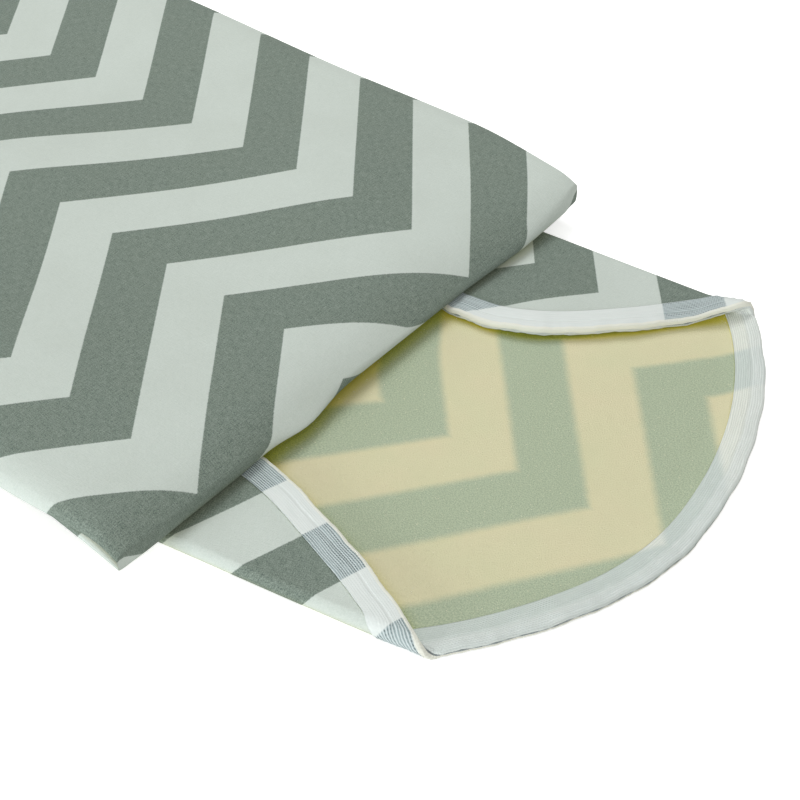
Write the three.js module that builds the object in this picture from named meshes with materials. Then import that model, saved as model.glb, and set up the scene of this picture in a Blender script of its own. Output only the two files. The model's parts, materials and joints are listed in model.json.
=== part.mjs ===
// A folded ironing board cover: printed cotton over a thin foam pad, bound all round in elastic tape.
// Its sides are folded in over the foam, and the long strip that this makes is folded over at the back,
// so that the print lies on top, and tucked under again at the front. The rounded nose stays out, foam up.
// Millimetres. X runs along the cover towards its nose, Y across it and Z up.
import * as THREE from "three";

// The cover spread flat.
const coverHalfWidth = 205;
const noseLength = 240; // from the tip to the full width, one half of an ellipse
const tailCornerRadius = 90;

// The sheets, and the clearance that is kept between two of them.
const cottonThickness = 0.5;
const foamThickness = 2.2;
const tapeThickness = 0.5;
const tapeWidth = 12.5; // on each face, because the tape is folded over the edge
const clearance = 0.3;

// The folded strip, seen from above, with the bundle's front edge at X = 0 and the cover's middle at Y = 0.
const bundleLength = 388; // between the axes of the back fold and the front fold
const noseReach = 145; // how far the tip comes out of the bundle
const tailLength = 185; // tucked under, behind the axis of the front fold
const sideFolds = { left: 29, right: 61 }; // how much of the cover is folded in at the back
const frontDraw = { left: 4, right: 10 }; // how far the top's front corners are drawn in
const frontDrawLength = 75;
const tailDraw = 8; // how far the tail's sides are drawn in at its end
const noseFolds = { left: 59, right: 95.5 }; // how much is folded in where the nose leaves the bundle
const noseSkew = THREE.MathUtils.degToRad(10.5); // the nose's side folds run askew to the cover
const flapTip = 16; // the flaps' sheets stop this far short of the nose's corners, to clear the nose's tape
const leastFlap = 20; // the narrowest that a flap gets, at the nose's and the tail's corners

// The outer faces of the side folds, at the back and where the nose leaves the bundle.
const bundleSides = { left: sideFolds.left - coverHalfWidth, right: coverHalfWidth - sideFolds.right };
const noseSides = { left: noseFolds.left - coverHalfWidth, right: coverHalfWidth - noseFolds.right };

// How finely the curved pieces are divided.
const sideFoldSteps = 4;
const endFoldSteps = 8;
const baseSteps = 6;
const frontDrawSteps = 4;
const tailCornerSteps = 5;
const noseColumns = 18;
const noseRows = [0, 0.3, 0.55, 0.72, 0.84, 0.92, 1];
const flapSteps = 8;
const solverSteps = 50;

// Heights within one folded panel, measured from the outer face of its cotton.
const laminate = cottonThickness + clearance + foamThickness;
const sheetGap = tapeThickness + 2 * clearance;
const foldHeight = 2 * laminate + sheetGap;
const sideFoldRadius = foldHeight / 2;
const panelHeight = foldHeight + clearance + tapeThickness;
const layers = {
  cotton: { outer: 0, inner: cottonThickness },
  foam: { outer: cottonThickness + clearance, inner: laminate },
};

// The bundle holds the base, the tucked tail and the top. The tape at the tail's end passes under the tail.
const tailBottom = panelHeight + clearance + tapeThickness + clearance;
const bundleHeight = tailBottom + panelHeight + clearance + panelHeight;
const backFoldRadius = bundleHeight / 2;
const frontFoldRadius = (bundleHeight - tailBottom) / 2;
const frontFoldHeight = tailBottom + frontFoldRadius;
const frontFoldX = -frontFoldRadius;
const backFoldX = frontFoldX - bundleLength;
const foldClearance = 0.5; // from a panel's end to the axis that it turns about
const noseStart = 2.5; // the nose's own sheets begin just clear of the bundle
const noseGap = 3 * clearance; // from the base, so that a flap can rise askew to it

const finishes = {
  cotton: { color: 0xa7b0a8, roughness: 0.9 },
  foam: { color: 0xd9d5ab, roughness: 0.95 },
  elastic: { color: 0xe8ecec, roughness: 0.7 },
};

const cover = new THREE.Group();

// Adds a solid that joins a row of closed rings, all of the same number of points. The first and last ring
// are closed by triangles, worked out on the flat profile that each of them follows.
function addLoft(name, finish, rings, profiles) {
  const size = rings[0].length;
  const last = (rings.length - 1) * size;
  const triangles = [];
  for (let row = 0; row + 1 < rings.length; row += 1) {
    for (let i = 0; i < size; i += 1) {
      const a = row * size + i;
      const b = row * size + ((i + 1) % size);
      triangles.push([a, b, b + size], [a, b + size, a + size]);
    }
  }
  const firstCap = THREE.ShapeUtils.triangulateShape(profiles[0], []);
  const lastCap = THREE.ShapeUtils.triangulateShape(profiles[profiles.length - 1], []);
  const firstTurns = THREE.ShapeUtils.isClockWise(profiles[0]);
  const lastTurns = THREE.ShapeUtils.isClockWise(profiles[profiles.length - 1]);
  firstCap.forEach(([a, b, c]) => triangles.push(firstTurns ? [a, b, c] : [c, b, a]));
  lastCap.forEach(([a, b, c]) =>
    triangles.push(lastTurns ? [last + c, last + b, last + a] : [last + a, last + b, last + c]),
  );
  const points = rings.flat();
  const volume = triangles.reduce(
    (sum, [a, b, c]) => sum + points[a].dot(new THREE.Vector3().crossVectors(points[b], points[c])),
    0,
  );
  const facing = volume < 0 ? triangles.map(([a, b, c]) => [c, b, a]) : triangles;
  const geometry = new THREE.BufferGeometry().setFromPoints(points);
  geometry.setIndex(facing.flat());
  geometry.computeVertexNormals();
  const mesh = new THREE.Mesh(geometry, new THREE.MeshStandardMaterial(finishes[finish]));
  mesh.name = name;
  cover.add(mesh);
}

// Evenly spaced stations from one end to the other, both included.
function span(from, to, steps) {
  return Array.from({ length: steps + 1 }, (_, i) => THREE.MathUtils.lerp(from, to, i / steps));
}

// Which way a side faces along Y.
function outwardOf(side) {
  return side === "right" ? 1 : -1;
}

// The cover's half width at a place along the nose, and at a distance from the tail's end.
function noseHalfWidth(x) {
  const fromMiddle = Math.max(0, 1 - (noseReach - x) / noseLength);
  return coverHalfWidth * Math.sqrt(Math.max(0, 1 - fromMiddle ** 2));
}

function tailHalfWidth(fromEnd) {
  const short = Math.max(0, tailCornerRadius - fromEnd);
  return coverHalfWidth - tailCornerRadius + Math.sqrt(tailCornerRadius ** 2 - short ** 2);
}

// The root of a rising function between two ends, by halving.
function solve(low, high, rising) {
  let from = low;
  let to = high;
  for (let i = 0; i < solverSteps; i += 1) {
    const middle = (from + to) / 2;
    if (rising(middle) < 0) from = middle;
    else to = middle;
  }
  return (from + to) / 2;
}

// Panels with both sides folded in

// The places across a panel: its side folds, and the edges of the two flaps, whose width is what the cover
// has left beyond the fold.
function panelSection(left, right, halfWidth) {
  const leftFlap = Math.max(leastFlap, halfWidth + left);
  const rightFlap = Math.max(leastFlap, halfWidth - right);
  return { left, right, leftEdge: left + leftFlap, rightEdge: right - rightFlap };
}

// The line along a panel where its flat sheet meets a side fold.
function borderOf(section, side) {
  return section[side] - outwardOf(side) * sideFoldRadius;
}

// One face of a flap and its fold, a given depth under the cotton's outer face: in from the free edge, and
// round the fold to the flat sheet.
function flapPath(section, side, depth) {
  const outward = outwardOf(side);
  const radius = sideFoldRadius - depth;
  const free = section[`${side}Edge`] + outward * (tapeThickness + clearance);
  const round = span(Math.PI / 2, -Math.PI / 2, sideFoldSteps).map(
    (turn) =>
      new THREE.Vector2(
        borderOf(section, side) + outward * radius * Math.cos(turn),
        sideFoldRadius + radius * Math.sin(turn),
      ),
  );
  return [new THREE.Vector2(free, foldHeight - depth), ...round];
}

// The profiles of a sheet that is cut at its side folds: the flat sheet, and each flap with its fold.
function cutProfiles(section, layer) {
  const left = borderOf(section, "left") + clearance;
  const right = borderOf(section, "right") - clearance;
  const flap = (side) => [
    ...flapPath(section, side, layer.outer),
    ...flapPath(section, side, layer.inner).reverse(),
  ];
  return {
    "": [
      new THREE.Vector2(left, layer.outer),
      new THREE.Vector2(right, layer.outer),
      new THREE.Vector2(right, layer.inner),
      new THREE.Vector2(left, layer.inner),
    ],
    _flap_left: flap("left"),
    _flap_right: flap("right"),
  };
}

// The profile of a sheet that runs from one flap's edge to the other's.
function wholeProfiles(section, layer) {
  const face = (depth) => [
    ...flapPath(section, "right", depth),
    ...flapPath(section, "left", depth).reverse(),
  ];
  return { "": [...face(layer.outer), ...face(layer.inner).reverse()] };
}

// The tape's section: two legs and the fold between them, with the sheets' edge inside. X is the distance
// from the tape's outer fold, and Y the height.
function tapeProfile(low, high) {
  const inside = { low: low - clearance, high: high + clearance };
  const outside = { low: inside.low - tapeThickness, high: inside.high + tapeThickness };
  return [
    new THREE.Vector2(0, outside.low + tapeThickness),
    new THREE.Vector2(tapeThickness, outside.low),
    new THREE.Vector2(tapeWidth, outside.low),
    new THREE.Vector2(tapeWidth, inside.low),
    new THREE.Vector2(tapeThickness, inside.low),
    new THREE.Vector2(tapeThickness, inside.high),
    new THREE.Vector2(tapeWidth, inside.high),
    new THREE.Vector2(tapeWidth, outside.high),
    new THREE.Vector2(tapeThickness, outside.high),
    new THREE.Vector2(0, outside.high - tapeThickness),
  ];
}

// Adds the cotton, the foam and the two edge tapes of a panel or of an end fold. A station is a place along
// the panel, or an angle round the fold, and place() puts a station's point (across, height) in the model.
function addPanel(name, stations, sectionAt, profilesOf, place) {
  const addAlong = (nodeName, finish, profiles) => {
    const rings = profiles.map((profile, i) => profile.map((p) => place(stations[i], p.x, p.y)));
    addLoft(nodeName, finish, rings, profiles);
  };
  for (const [layerName, layer] of Object.entries(layers)) {
    const sections = stations.map((station) => profilesOf(sectionAt(station), layer));
    for (const piece of Object.keys(sections[0])) {
      addAlong(`${name}${piece}_${layerName}`, layerName, sections.map((profiles) => profiles[piece]));
    }
  }
  const tape = tapeProfile(foldHeight - laminate, foldHeight);
  for (const side of ["left", "right"]) {
    const profiles = stations.map((station) => {
      const edge = sectionAt(station)[`${side}Edge`];
      return tape.map((p) => new THREE.Vector2(edge + outwardOf(side) * p.x, p.y));
    });
    addAlong(`${name}_flap_${side}_elastic`, "elastic", profiles);
  }
}

// The base lies print down. Its side folds spread from the nose's width to the bundle's.
function baseSection(x) {
  const share = THREE.MathUtils.clamp(x / backFoldX, 0, 1);
  const left = THREE.MathUtils.lerp(noseSides.left, bundleSides.left, share);
  const right = THREE.MathUtils.lerp(noseSides.right, bundleSides.right, share);
  return panelSection(left, right, noseHalfWidth(x));
}

// The top lies print up, with its front corners drawn in.
function topSection(x) {
  const drawn = THREE.MathUtils.smoothstep(x, frontFoldX - frontDrawLength, frontFoldX);
  const left = bundleSides.left + frontDraw.left * drawn;
  const right = bundleSides.right - frontDraw.right * drawn;
  return panelSection(left, right, coverHalfWidth);
}

// The tail lies print down under the top, and narrows towards its end.
function tailSection(x) {
  const front = topSection(frontFoldX);
  const share = (frontFoldX - x) / tailLength;
  const halfWidth = tailHalfWidth(tailLength - (frontFoldX - x));
  return panelSection(front.left + tailDraw * share, front.right - tailDraw * share, halfWidth);
}

const halfTurn = span(0, Math.PI, endFoldSteps);
const baseStations = span(backFoldX + foldClearance, noseStart - noseGap, baseSteps);
const topStations = [
  backFoldX + foldClearance,
  ...span(frontFoldX - frontDrawLength, frontFoldX - foldClearance, frontDrawSteps),
];
const tailEnd = frontFoldX - tailLength + tapeThickness + clearance;
const tailStations = [
  frontFoldX - foldClearance,
  ...span(tailEnd + tailCornerRadius, tailEnd, tailCornerSteps),
];

addPanel("base", baseStations, baseSection, cutProfiles, (x, y, z) => new THREE.Vector3(x, y, z));
addPanel(
  "back_fold",
  halfTurn,
  () => baseSection(backFoldX),
  wholeProfiles,
  (turn, y, z) => {
    const reach = backFoldRadius - z;
    return new THREE.Vector3(backFoldX - reach * Math.sin(turn), y, backFoldRadius - reach * Math.cos(turn));
  },
);
addPanel("top", topStations, topSection, cutProfiles, (x, y, z) => new THREE.Vector3(x, y, bundleHeight - z));
addPanel(
  "front_fold",
  halfTurn,
  () => topSection(frontFoldX),
  wholeProfiles,
  (turn, y, z) => {
    const reach = frontFoldRadius - z;
    return new THREE.Vector3(
      frontFoldX + reach * Math.sin(turn),
      y,
      frontFoldHeight + reach * Math.cos(turn),
    );
  },
);
const onTail = (x, y, z) => new THREE.Vector3(x, y, tailBottom + z);
addPanel("tail", tailStations, tailSection, cutProfiles, onTail);

// The directions from an edge into its sheet, for a path of points with the sheet on its left.
function inwardFrom(path) {
  return path.map((_, i) => {
    const before = path[Math.max(0, i - 1)];
    const after = path[Math.min(path.length - 1, i + 1)];
    const along = new THREE.Vector2().subVectors(after, before).normalize();
    return new THREE.Vector2(-along.y, along.x);
  });
}

// Adds a tape along an edge seen from above, laid in the given directions.
function addTape(name, path, inward, low, high, place) {
  const profile = tapeProfile(low, high);
  const rings = path.map((point, i) =>
    profile.map((p) => place(point.x + inward[i].x * p.x, point.y + inward[i].y * p.x, p.y)),
  );
  addLoft(name, "elastic", rings, [profile, profile]);
}

// The tail's end has its tape between the two flaps, round the flat sheets only. It is as long as the room
// that the flaps leave along its width.
const lastClear = tailStations.findLastIndex((x) => x > tailEnd + tapeWidth);
const besideTape = tailStations.slice(lastClear).map(tailSection);
const tailEndPath = [
  Math.min(...besideTape.map((section) => section.rightEdge)) - clearance,
  Math.max(...besideTape.map((section) => section.leftEdge)) + clearance,
].map((y) => new THREE.Vector2(frontFoldX - tailLength, y));
addTape("tail_elastic_end", tailEndPath, inwardFrom(tailEndPath), 0, laminate, onTail);

// The nose

// The nose's rim is drawn up by its tape, just enough for the tape to pass under it.
const rimLift = tapeThickness + clearance;
const rimBand = 1.6 * tapeWidth; // lifted in full
const rimSlope = 3 * tapeWidth; // eased down to the flat of the nose

function noseLift(x, y) {
  const along = Math.max(0, x - (noseReach - noseLength)) / noseLength;
  const fromRim = coverHalfWidth * (1 - Math.hypot(along, y / coverHalfWidth));
  return rimLift * (1 - THREE.MathUtils.smoothstep(fromRim, rimBand, rimBand + rimSlope));
}

function onNose(x, y, z) {
  return new THREE.Vector3(x, y, z + noseLift(x, y));
}

// A side of the nose: the outer face of its fold, the flat sheet's border, and the corner where the border
// meets the rim of the sheets.
function noseSide(name) {
  const outward = outwardOf(name);
  const foldAt = (x) => noseSides[name] + x * Math.tan(noseSkew);
  const borderAt = (x) => foldAt(x) - outward * sideFoldRadius;
  const cornerX = solve(noseStart, noseReach, (x) => outward * borderAt(x) - noseHalfWidth(x));
  return { name, outward, foldAt, borderAt, cornerX };
}

const sides = { left: noseSide("left"), right: noseSide("right") };

// Points of the rim from the left corner to the right one, set in from the tape's outer fold.
function rimPath(inset) {
  const angleAt = (side) => Math.asin(side.borderAt(side.cornerX) / coverHalfWidth);
  return span(angleAt(sides.left), angleAt(sides.right), noseColumns).map(
    (angle) =>
      new THREE.Vector2(
        noseReach - noseLength + (noseLength - inset) * Math.cos(angle),
        (coverHalfWidth - inset) * Math.sin(angle),
      ),
  );
}

// The flat sheets of the nose, ruled from the bundle's front to the rim.
function addNoseSheet(layerName) {
  const layer = layers[layerName];
  const rim = rimPath(tapeThickness + clearance);
  const border = clearance / 2;
  const start = rim.map((_, i) => {
    const left = sides.left.borderAt(noseStart) + border;
    const right = sides.right.borderAt(noseStart) - border;
    return new THREE.Vector2(noseStart, THREE.MathUtils.lerp(left, right, i / noseColumns));
  });
  const profiles = [];
  const rings = noseRows.map((share) => {
    const row = start.map((point, i) => point.clone().lerp(rim[i], share));
    const under = row.map((p) => [p, layer.outer]);
    const over = row.map((p) => [p, layer.inner]).reverse();
    const loop = [...under, ...over];
    profiles.push(loop.map(([p, z]) => new THREE.Vector2(p.y, z)));
    return loop.map(([p, z]) => onNose(p.x, p.y, z));
  });
  addLoft(`nose_${layerName}`, layerName, rings, profiles);
}

// The flap's edge at x: the outline beyond the side fold, mirrored in it.
function flapEdgeAt(side, x) {
  const mirrored = (outlineX) => {
    const y = side.outward * noseHalfWidth(outlineX) - noseSides[side.name];
    const turn = 2 * noseSkew;
    return new THREE.Vector2(
      outlineX * Math.cos(turn) + y * Math.sin(turn),
      outlineX * Math.sin(turn) - y * Math.cos(turn) + noseSides[side.name],
    );
  };
  const outlineX = solve(noseReach - 2 * noseLength, noseReach, (place) => mirrored(place).x - x);
  return mirrored(outlineX).y;
}

// A flap of the nose, with its sheets, its tape and the half round fold that joins it to the nose.
function addNoseFlap(side) {
  const depthAt = (x) => side.outward * (side.borderAt(x) - flapEdgeAt(side, x));
  const narrowX = solve(noseStart, side.cornerX, (x) => leastFlap - depthAt(x));
  const stations = span(noseStart, Math.min(narrowX, side.cornerX - flapTip), flapSteps);
  const edge = stations.map((x) => new THREE.Vector2(x, flapEdgeAt(side, x)));
  const inward = inwardFrom(edge).map((direction) => direction.multiplyScalar(side.outward));
  const sheetEnd = inward.map((direction) => (tapeThickness + 2 * clearance) / direction.y);
  inward[0].set(0, side.outward); // cut square where the flap goes under the bundle
  const hingeGap = side.outward * (clearance / 2);
  for (const [layerName, layer] of Object.entries(layers)) {
    const low = foldHeight - layer.inner;
    const high = foldHeight - layer.outer;
    const flat = stations.map((x, i) => {
      const free = edge[i].y + sheetEnd[i];
      const hinge = side.borderAt(x) - hingeGap;
      return [
        new THREE.Vector2(free, low),
        new THREE.Vector2(hinge, low),
        new THREE.Vector2(hinge, high),
        new THREE.Vector2(free, high),
      ];
    });
    const rings = flat.map((profile, i) => profile.map((p) => onNose(stations[i], p.x, p.y)));
    addLoft(`nose_flap_${side.name}_${layerName}`, layerName, rings, flat);
    const round = stations.map((x) => {
      const arc = (radius) =>
        span(-Math.PI / 2, Math.PI / 2, sideFoldSteps).map(
          (turn) =>
            new THREE.Vector2(
              side.borderAt(x) + side.outward * radius * Math.cos(turn),
              sideFoldRadius + radius * Math.sin(turn),
            ),
        );
      return [...arc(sideFoldRadius - layer.outer), ...arc(sideFoldRadius - layer.inner).reverse()];
    });
    const roundRings = round.map((profile, i) => profile.map((p) => onNose(stations[i], p.x, p.y)));
    addLoft(`nose_fold_${side.name}_${layerName}`, layerName, roundRings, round);
  }
  addTape(`nose_flap_${side.name}_elastic`, edge, inward, foldHeight - laminate, foldHeight, onNose);
}

addNoseSheet("cotton");
addNoseSheet("foam");
const rim = rimPath(0);
addTape("nose_elastic", rim, inwardFrom(rim), 0, laminate, onNose);
addNoseFlap(sides.left);
addNoseFlap(sides.right);

// The cover stands on Z = 0 with its box centred over the origin.
const box = new THREE.Box3().setFromObject(cover);
const centre = box.getCenter(new THREE.Vector3());
cover.position.set(-centre.x, -centre.y, -box.min.z);

export default cover;
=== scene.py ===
"""The looks of a folded ironing board cover: printed cotton, a foam pad and a binding of elastic tape.

Shapes are worked out in millimetres on the cover itself: X = 0 is the bundle's front edge, Y = 0 the middle
of the cloth and Z = 0 the floor. Every sheet is a piece of one flat cloth, laid in its folds.
"""

import json
import math

import bpy
import numpy as np
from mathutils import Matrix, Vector


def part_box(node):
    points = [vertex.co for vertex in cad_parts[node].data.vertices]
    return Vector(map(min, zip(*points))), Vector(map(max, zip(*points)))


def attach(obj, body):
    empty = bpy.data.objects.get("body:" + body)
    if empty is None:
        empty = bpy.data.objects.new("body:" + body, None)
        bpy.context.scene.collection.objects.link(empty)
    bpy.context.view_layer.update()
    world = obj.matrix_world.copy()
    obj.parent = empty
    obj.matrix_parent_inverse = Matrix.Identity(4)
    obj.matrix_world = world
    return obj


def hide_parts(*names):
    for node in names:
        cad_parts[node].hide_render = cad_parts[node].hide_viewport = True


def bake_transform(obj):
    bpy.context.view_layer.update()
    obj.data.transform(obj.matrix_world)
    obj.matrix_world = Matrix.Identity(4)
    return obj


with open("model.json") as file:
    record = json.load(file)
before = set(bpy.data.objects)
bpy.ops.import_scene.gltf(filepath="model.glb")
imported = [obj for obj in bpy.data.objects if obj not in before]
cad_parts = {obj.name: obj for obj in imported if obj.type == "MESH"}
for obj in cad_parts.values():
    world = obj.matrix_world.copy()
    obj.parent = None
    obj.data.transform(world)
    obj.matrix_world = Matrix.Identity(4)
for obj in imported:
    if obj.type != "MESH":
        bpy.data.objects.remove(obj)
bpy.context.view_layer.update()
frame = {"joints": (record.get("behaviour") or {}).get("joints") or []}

MM = 0.001
TINY = 1e-9
HALVINGS = 40
SIDES = {"left": -1, "right": 1}
joints = {joint["name"]: joint for joint in frame["joints"]}


def joint_at(name):
    """Where a joint's axis lies, in millimetres of the frame."""
    return np.array(joints[name]["pos_m"]) / MM


# The cloth as it is cut
HALF_WIDTH = 205
NOSE_LENGTH = 240
NOSE_REACH = 145
TAIL_LENGTH = 185
TAIL_CORNER = 90
LEAST_FLAP = 20

# The sheets, as depths below the face of the print
COTTON = (0, 0.5)
FOAM = (0.6, 2.9)
EDGE = 0.8  # the sheets end this far inside the tape's fold
TAPE_WIDTH = 12.5
TAPE_GAP = 0.05
TAPE_THICKNESS = 0.5

# The folds, from the frame
BUNDLE_HEIGHT = 2 * joint_at("bundle_unfold")[2]
BACK_RADIUS = BUNDLE_HEIGHT / 2
FRONT_RADIUS = BUNDLE_HEIGHT - joint_at("tail_unfold")[2]
TAIL_BOTTOM = BUNDLE_HEIGHT - 2 * FRONT_RADIUS
FRONT_X = -FRONT_RADIUS
SIDE_RADIUS = joint_at("flap_right_lift")[2]
ARC = 2 * SIDE_RADIUS  # the cloth that a side fold takes
LEFT_FOLD = 29
bundle_low, bundle_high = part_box("back_fold_cotton")
ORIGIN = np.array(
    [joint_at("tail_unfold")[0] - FRONT_X, bundle_low.y / MM + HALF_WIDTH - LEFT_FOLD, 0]
)
BACK_X = joint_at("bundle_unfold")[0] - ORIGIN[0]
BUNDLE_BORDER = {
    "left": bundle_low.y / MM - ORIGIN[1] + SIDE_RADIUS,
    "right": bundle_high.y / MM - ORIGIN[1] - SIDE_RADIUS,
}
NOSE_BORDER = {side: joint_at(f"flap_{side}_lift")[1] - ORIGIN[1] for side in SIDES}
AXIS = joints["flap_left_lift"]["axis"]
SKEW = {"left": math.atan2(AXIS[1], AXIS[0]), "right": math.radians(5.6)}
FRONT_DRAW = {"left": 4, "right": 10}
FRONT_DRAW_LENGTH = 75
TAIL_DRAW = 8

# Places along the cloth, measured from the nose's tip
FRONT_ARC = 15  # the cloth that the pressed front fold takes
S_BACK = NOSE_REACH - BACK_X
S_TOP = S_BACK + math.pi * BACK_RADIUS
S_FRONT = S_TOP + FRONT_X - BACK_X
S_TAIL = S_FRONT + FRONT_ARC
S_END = S_TAIL + TAIL_LENGTH

# The nose begins a little under the bundle. Behind this line its askew folds turn into the bundle's.
NOSE_SPLIT = -15
SKEW_START = -150


def smooth(start, end, value):
    """An eased step from 0 at start to 1 at end."""
    share = np.clip((value - start) / (end - start), 0, 1)
    return share * share * (3 - 2 * share)


def between(rise, fall, value):
    """0, then 1 between two eased steps, then 0 again."""
    return smooth(*rise, value) * (1 - smooth(*fall, value))


def hump(middle, width, value):
    """A smooth bump of height 1."""
    return np.exp(-(((value - middle) / width) ** 2))


def waves(terms, value):
    """The sum of sine waves, each given by its height, its length per radian and its start."""
    return sum(height * np.sin(value / length + start) for height, length, start in terms)


def unit(vectors):
    return vectors / np.maximum(np.linalg.norm(vectors, axis=-1, keepdims=True), TINY)


def halve(low, high, too_far):
    """The last place, between two ends, that isn't too far."""
    for _ in range(HALVINGS):
        middle = (low + high) / 2
        far = too_far(middle)
        high = np.where(far, middle, high)
        low = np.where(far, low, middle)
    return (low + high) / 2


# The base and the nose: a flat cloth with its two sides folded in

NOSE_SHIFT = -4  # how far the cut lies from the cover's middle at the nose's rim
FRONT_SHIFT = -15  # and where the nose leaves the bundle
SHIFT_TURN = (0, 65)  # along, where the one turns into the other
SHIFT_START = (-250, -30)  # and where the shift sets in
FULLER = {"left": (58, 45, 4.5), "right": (12, 32, 12)}  # the flaps are wider: place, width, by how much
RIM_FULLER = (2.2, -45, 60, 3.8)  # the rim's added reach, and a bulge's middle, width and size
RIM_FULLER_START = (70, 115)
RIM_BAND = 18  # the rim curls up over this width
RIM_CURL = 2.2
RIM_CURL_START = (-5, 40)
RIM_CURL_WAVES = ((0.18, 17, 0), (0.1, 6.3, 1))
SWELL = (0.5, 23, 0.4, 31)  # the nose's soft swells: height, length along, start, length across
SWELL_START = (0, 50)
STATION_ENDS = (BACK_X - 20.0, NOSE_REACH + 100.0)  # a fold's stations are looked for between these
WIDEST_FLAP = 190
FLAP_LIFT = {"left": 1, "right": 2}  # how far a flap's free edge stands up
FLAP_RISE = ((-2, 26), (50, 84))  # along, where it comes up and where it goes down again
FLAP_EASE = {"left": 40, "right": 62}
FLAP_WAVES = ((0.35, 9, 0.6),)
FLAP_WAVE_RISE = ((-2, 20), (60, 90))
CORNER_LIFT = {"left": 2, "right": 4.5}  # a flap's end stays open in a loop
CORNER_RUN = {"left": (38, 88), "right": (76, 97)}


def cut_middle(x):
    """How far the cut's middle lies from the cover's, at a place along it."""
    drawn = NOSE_SHIFT + (FRONT_SHIFT - NOSE_SHIFT) * (1 - smooth(*SHIFT_TURN, x))
    return drawn * smooth(*SHIFT_START, x)


def from_rim(x, y):
    """About how far a point of the flat cloth lies inside its cut edge."""
    along = np.maximum(0, x - (NOSE_REACH - NOSE_LENGTH)) / NOSE_LENGTH
    across = y - cut_middle(x)
    middle, width, fuller = (np.where(across > 0, right, left) for left, right in zip(*FULLER.values()))
    least, at, wide, more = RIM_FULLER
    reach = (least + more * hump(at, wide, y)) * smooth(*RIM_FULLER_START, x)
    return HALF_WIDTH * (1 - np.hypot(along, across / HALF_WIDTH)) + fuller * hump(middle, width, x) + reach


def border_at(side, x):
    """The line where the flat sheet meets its side fold."""
    slope = math.tan(SKEW[side])
    knee = NOSE_BORDER[side] + NOSE_SPLIT * slope
    share = (x - NOSE_SPLIT) / (BACK_X - NOSE_SPLIT)
    behind = knee + (BUNDLE_BORDER[side] - knee) * share
    return np.where(x > NOSE_SPLIT, NOSE_BORDER[side] + x * slope, behind)


def fold_frame(side, at):
    """A fold's place at a station, and the directions along it and outward from it."""
    angle = SKEW[side] * smooth(SKEW_START, NOSE_SPLIT, at)
    along = (np.cos(angle), np.sin(angle))
    outward = (-SIDES[side] * along[1], SIDES[side] * along[0])
    return border_at(side, at), along, outward


def station_of(side, x, y):
    """The station on a fold that lies square across from a point of the flat cloth."""

    def too_far(at):
        border, along, _ = fold_frame(side, at)
        return (x - at) * along[0] + (y - border) * along[1] < 0

    low, high = (np.full(x.shape, end) for end in STATION_ENDS)
    return halve(low, high, too_far)


def past_fold(side, x, y):
    """A point's station on a fold, the fold's place and outward way, and how far past it the point is."""
    at = station_of(side, x, y)
    border, _, outward = fold_frame(side, at)
    return at, border, outward, (x - at) * outward[0] + (y - border) * outward[1]


def flap_cloth(side, at, over):
    """The point of the flat cloth that lies a distance beyond a fold."""
    border, _, outward = fold_frame(side, at)
    return at + outward[0] * over, border + outward[1] * over


def flap_width(side, at):
    """How far the cloth reaches beyond a fold, to its cut edge."""
    at = np.asarray(at, float)
    none = np.zeros(at.shape)
    return halve(none, none + WIDEST_FLAP, lambda over: from_rim(*flap_cloth(side, at, over)) < 0)


def round_side(over, depth):
    """Round a side fold: the turn so far, the cloth beyond it, and how far out and up a point lies."""
    turn = np.clip(over / ARC, 0, 1) * math.pi
    reach = SIDE_RADIUS - depth
    beyond = np.maximum(over - ARC, 0)
    return turn, beyond, reach * np.sin(turn) - beyond, SIDE_RADIUS - reach * np.cos(turn)


def flap_relief(side, at, turn, beyond):
    """How far a flap stands off the sheet under it, growing round its fold."""
    wave = waves(FLAP_WAVES, at) * between(*FLAP_WAVE_RISE, at)
    edge = smooth(0, FLAP_EASE[side], beyond) * (FLAP_LIFT[side] * between(*FLAP_RISE, at) + wave)
    return edge + CORNER_LIFT[side] * smooth(*CORNER_RUN[side], at) * (1 - np.cos(turn)) / 2


def lay_base(x, y, depth):
    """Where a point of the base's or the nose's cloth lies."""
    depth = np.broadcast_to(depth, x.shape)
    place = np.stack([x, y, depth], -1)
    turned = np.zeros(x.shape)
    for side in SIDES:
        at, border, outward, over = past_fold(side, x, y)
        turn, beyond, out, height = round_side(over, depth)
        height = height + flap_relief(side, at, turn, beyond)
        folded = np.stack([at + outward[0] * out, border + outward[1] * out, height], -1)
        place = np.where((over > 0)[..., None], folded, place)
        turned = np.where(over > 0, turn / math.pi, turned)
    rim = from_rim(x, y)
    curl = RIM_CURL * (1 + waves(RIM_CURL_WAVES, y))
    place[..., 2] += curl * smooth(RIM_BAND, 0, rim) * smooth(1, 0, turned) * smooth(*RIM_CURL_START, x)
    inner = smooth(RIM_BAND, 3 * RIM_BAND, rim) * smooth(*SWELL_START, x) * (turned == 0)
    tall, along, start, across = SWELL
    place[..., 2] += tall * inner * (1 + np.sin(x / along + start) * np.sin(y / across))
    return place


# The strip: the back fold, the top, the front fold and the tail, one after the other

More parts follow.
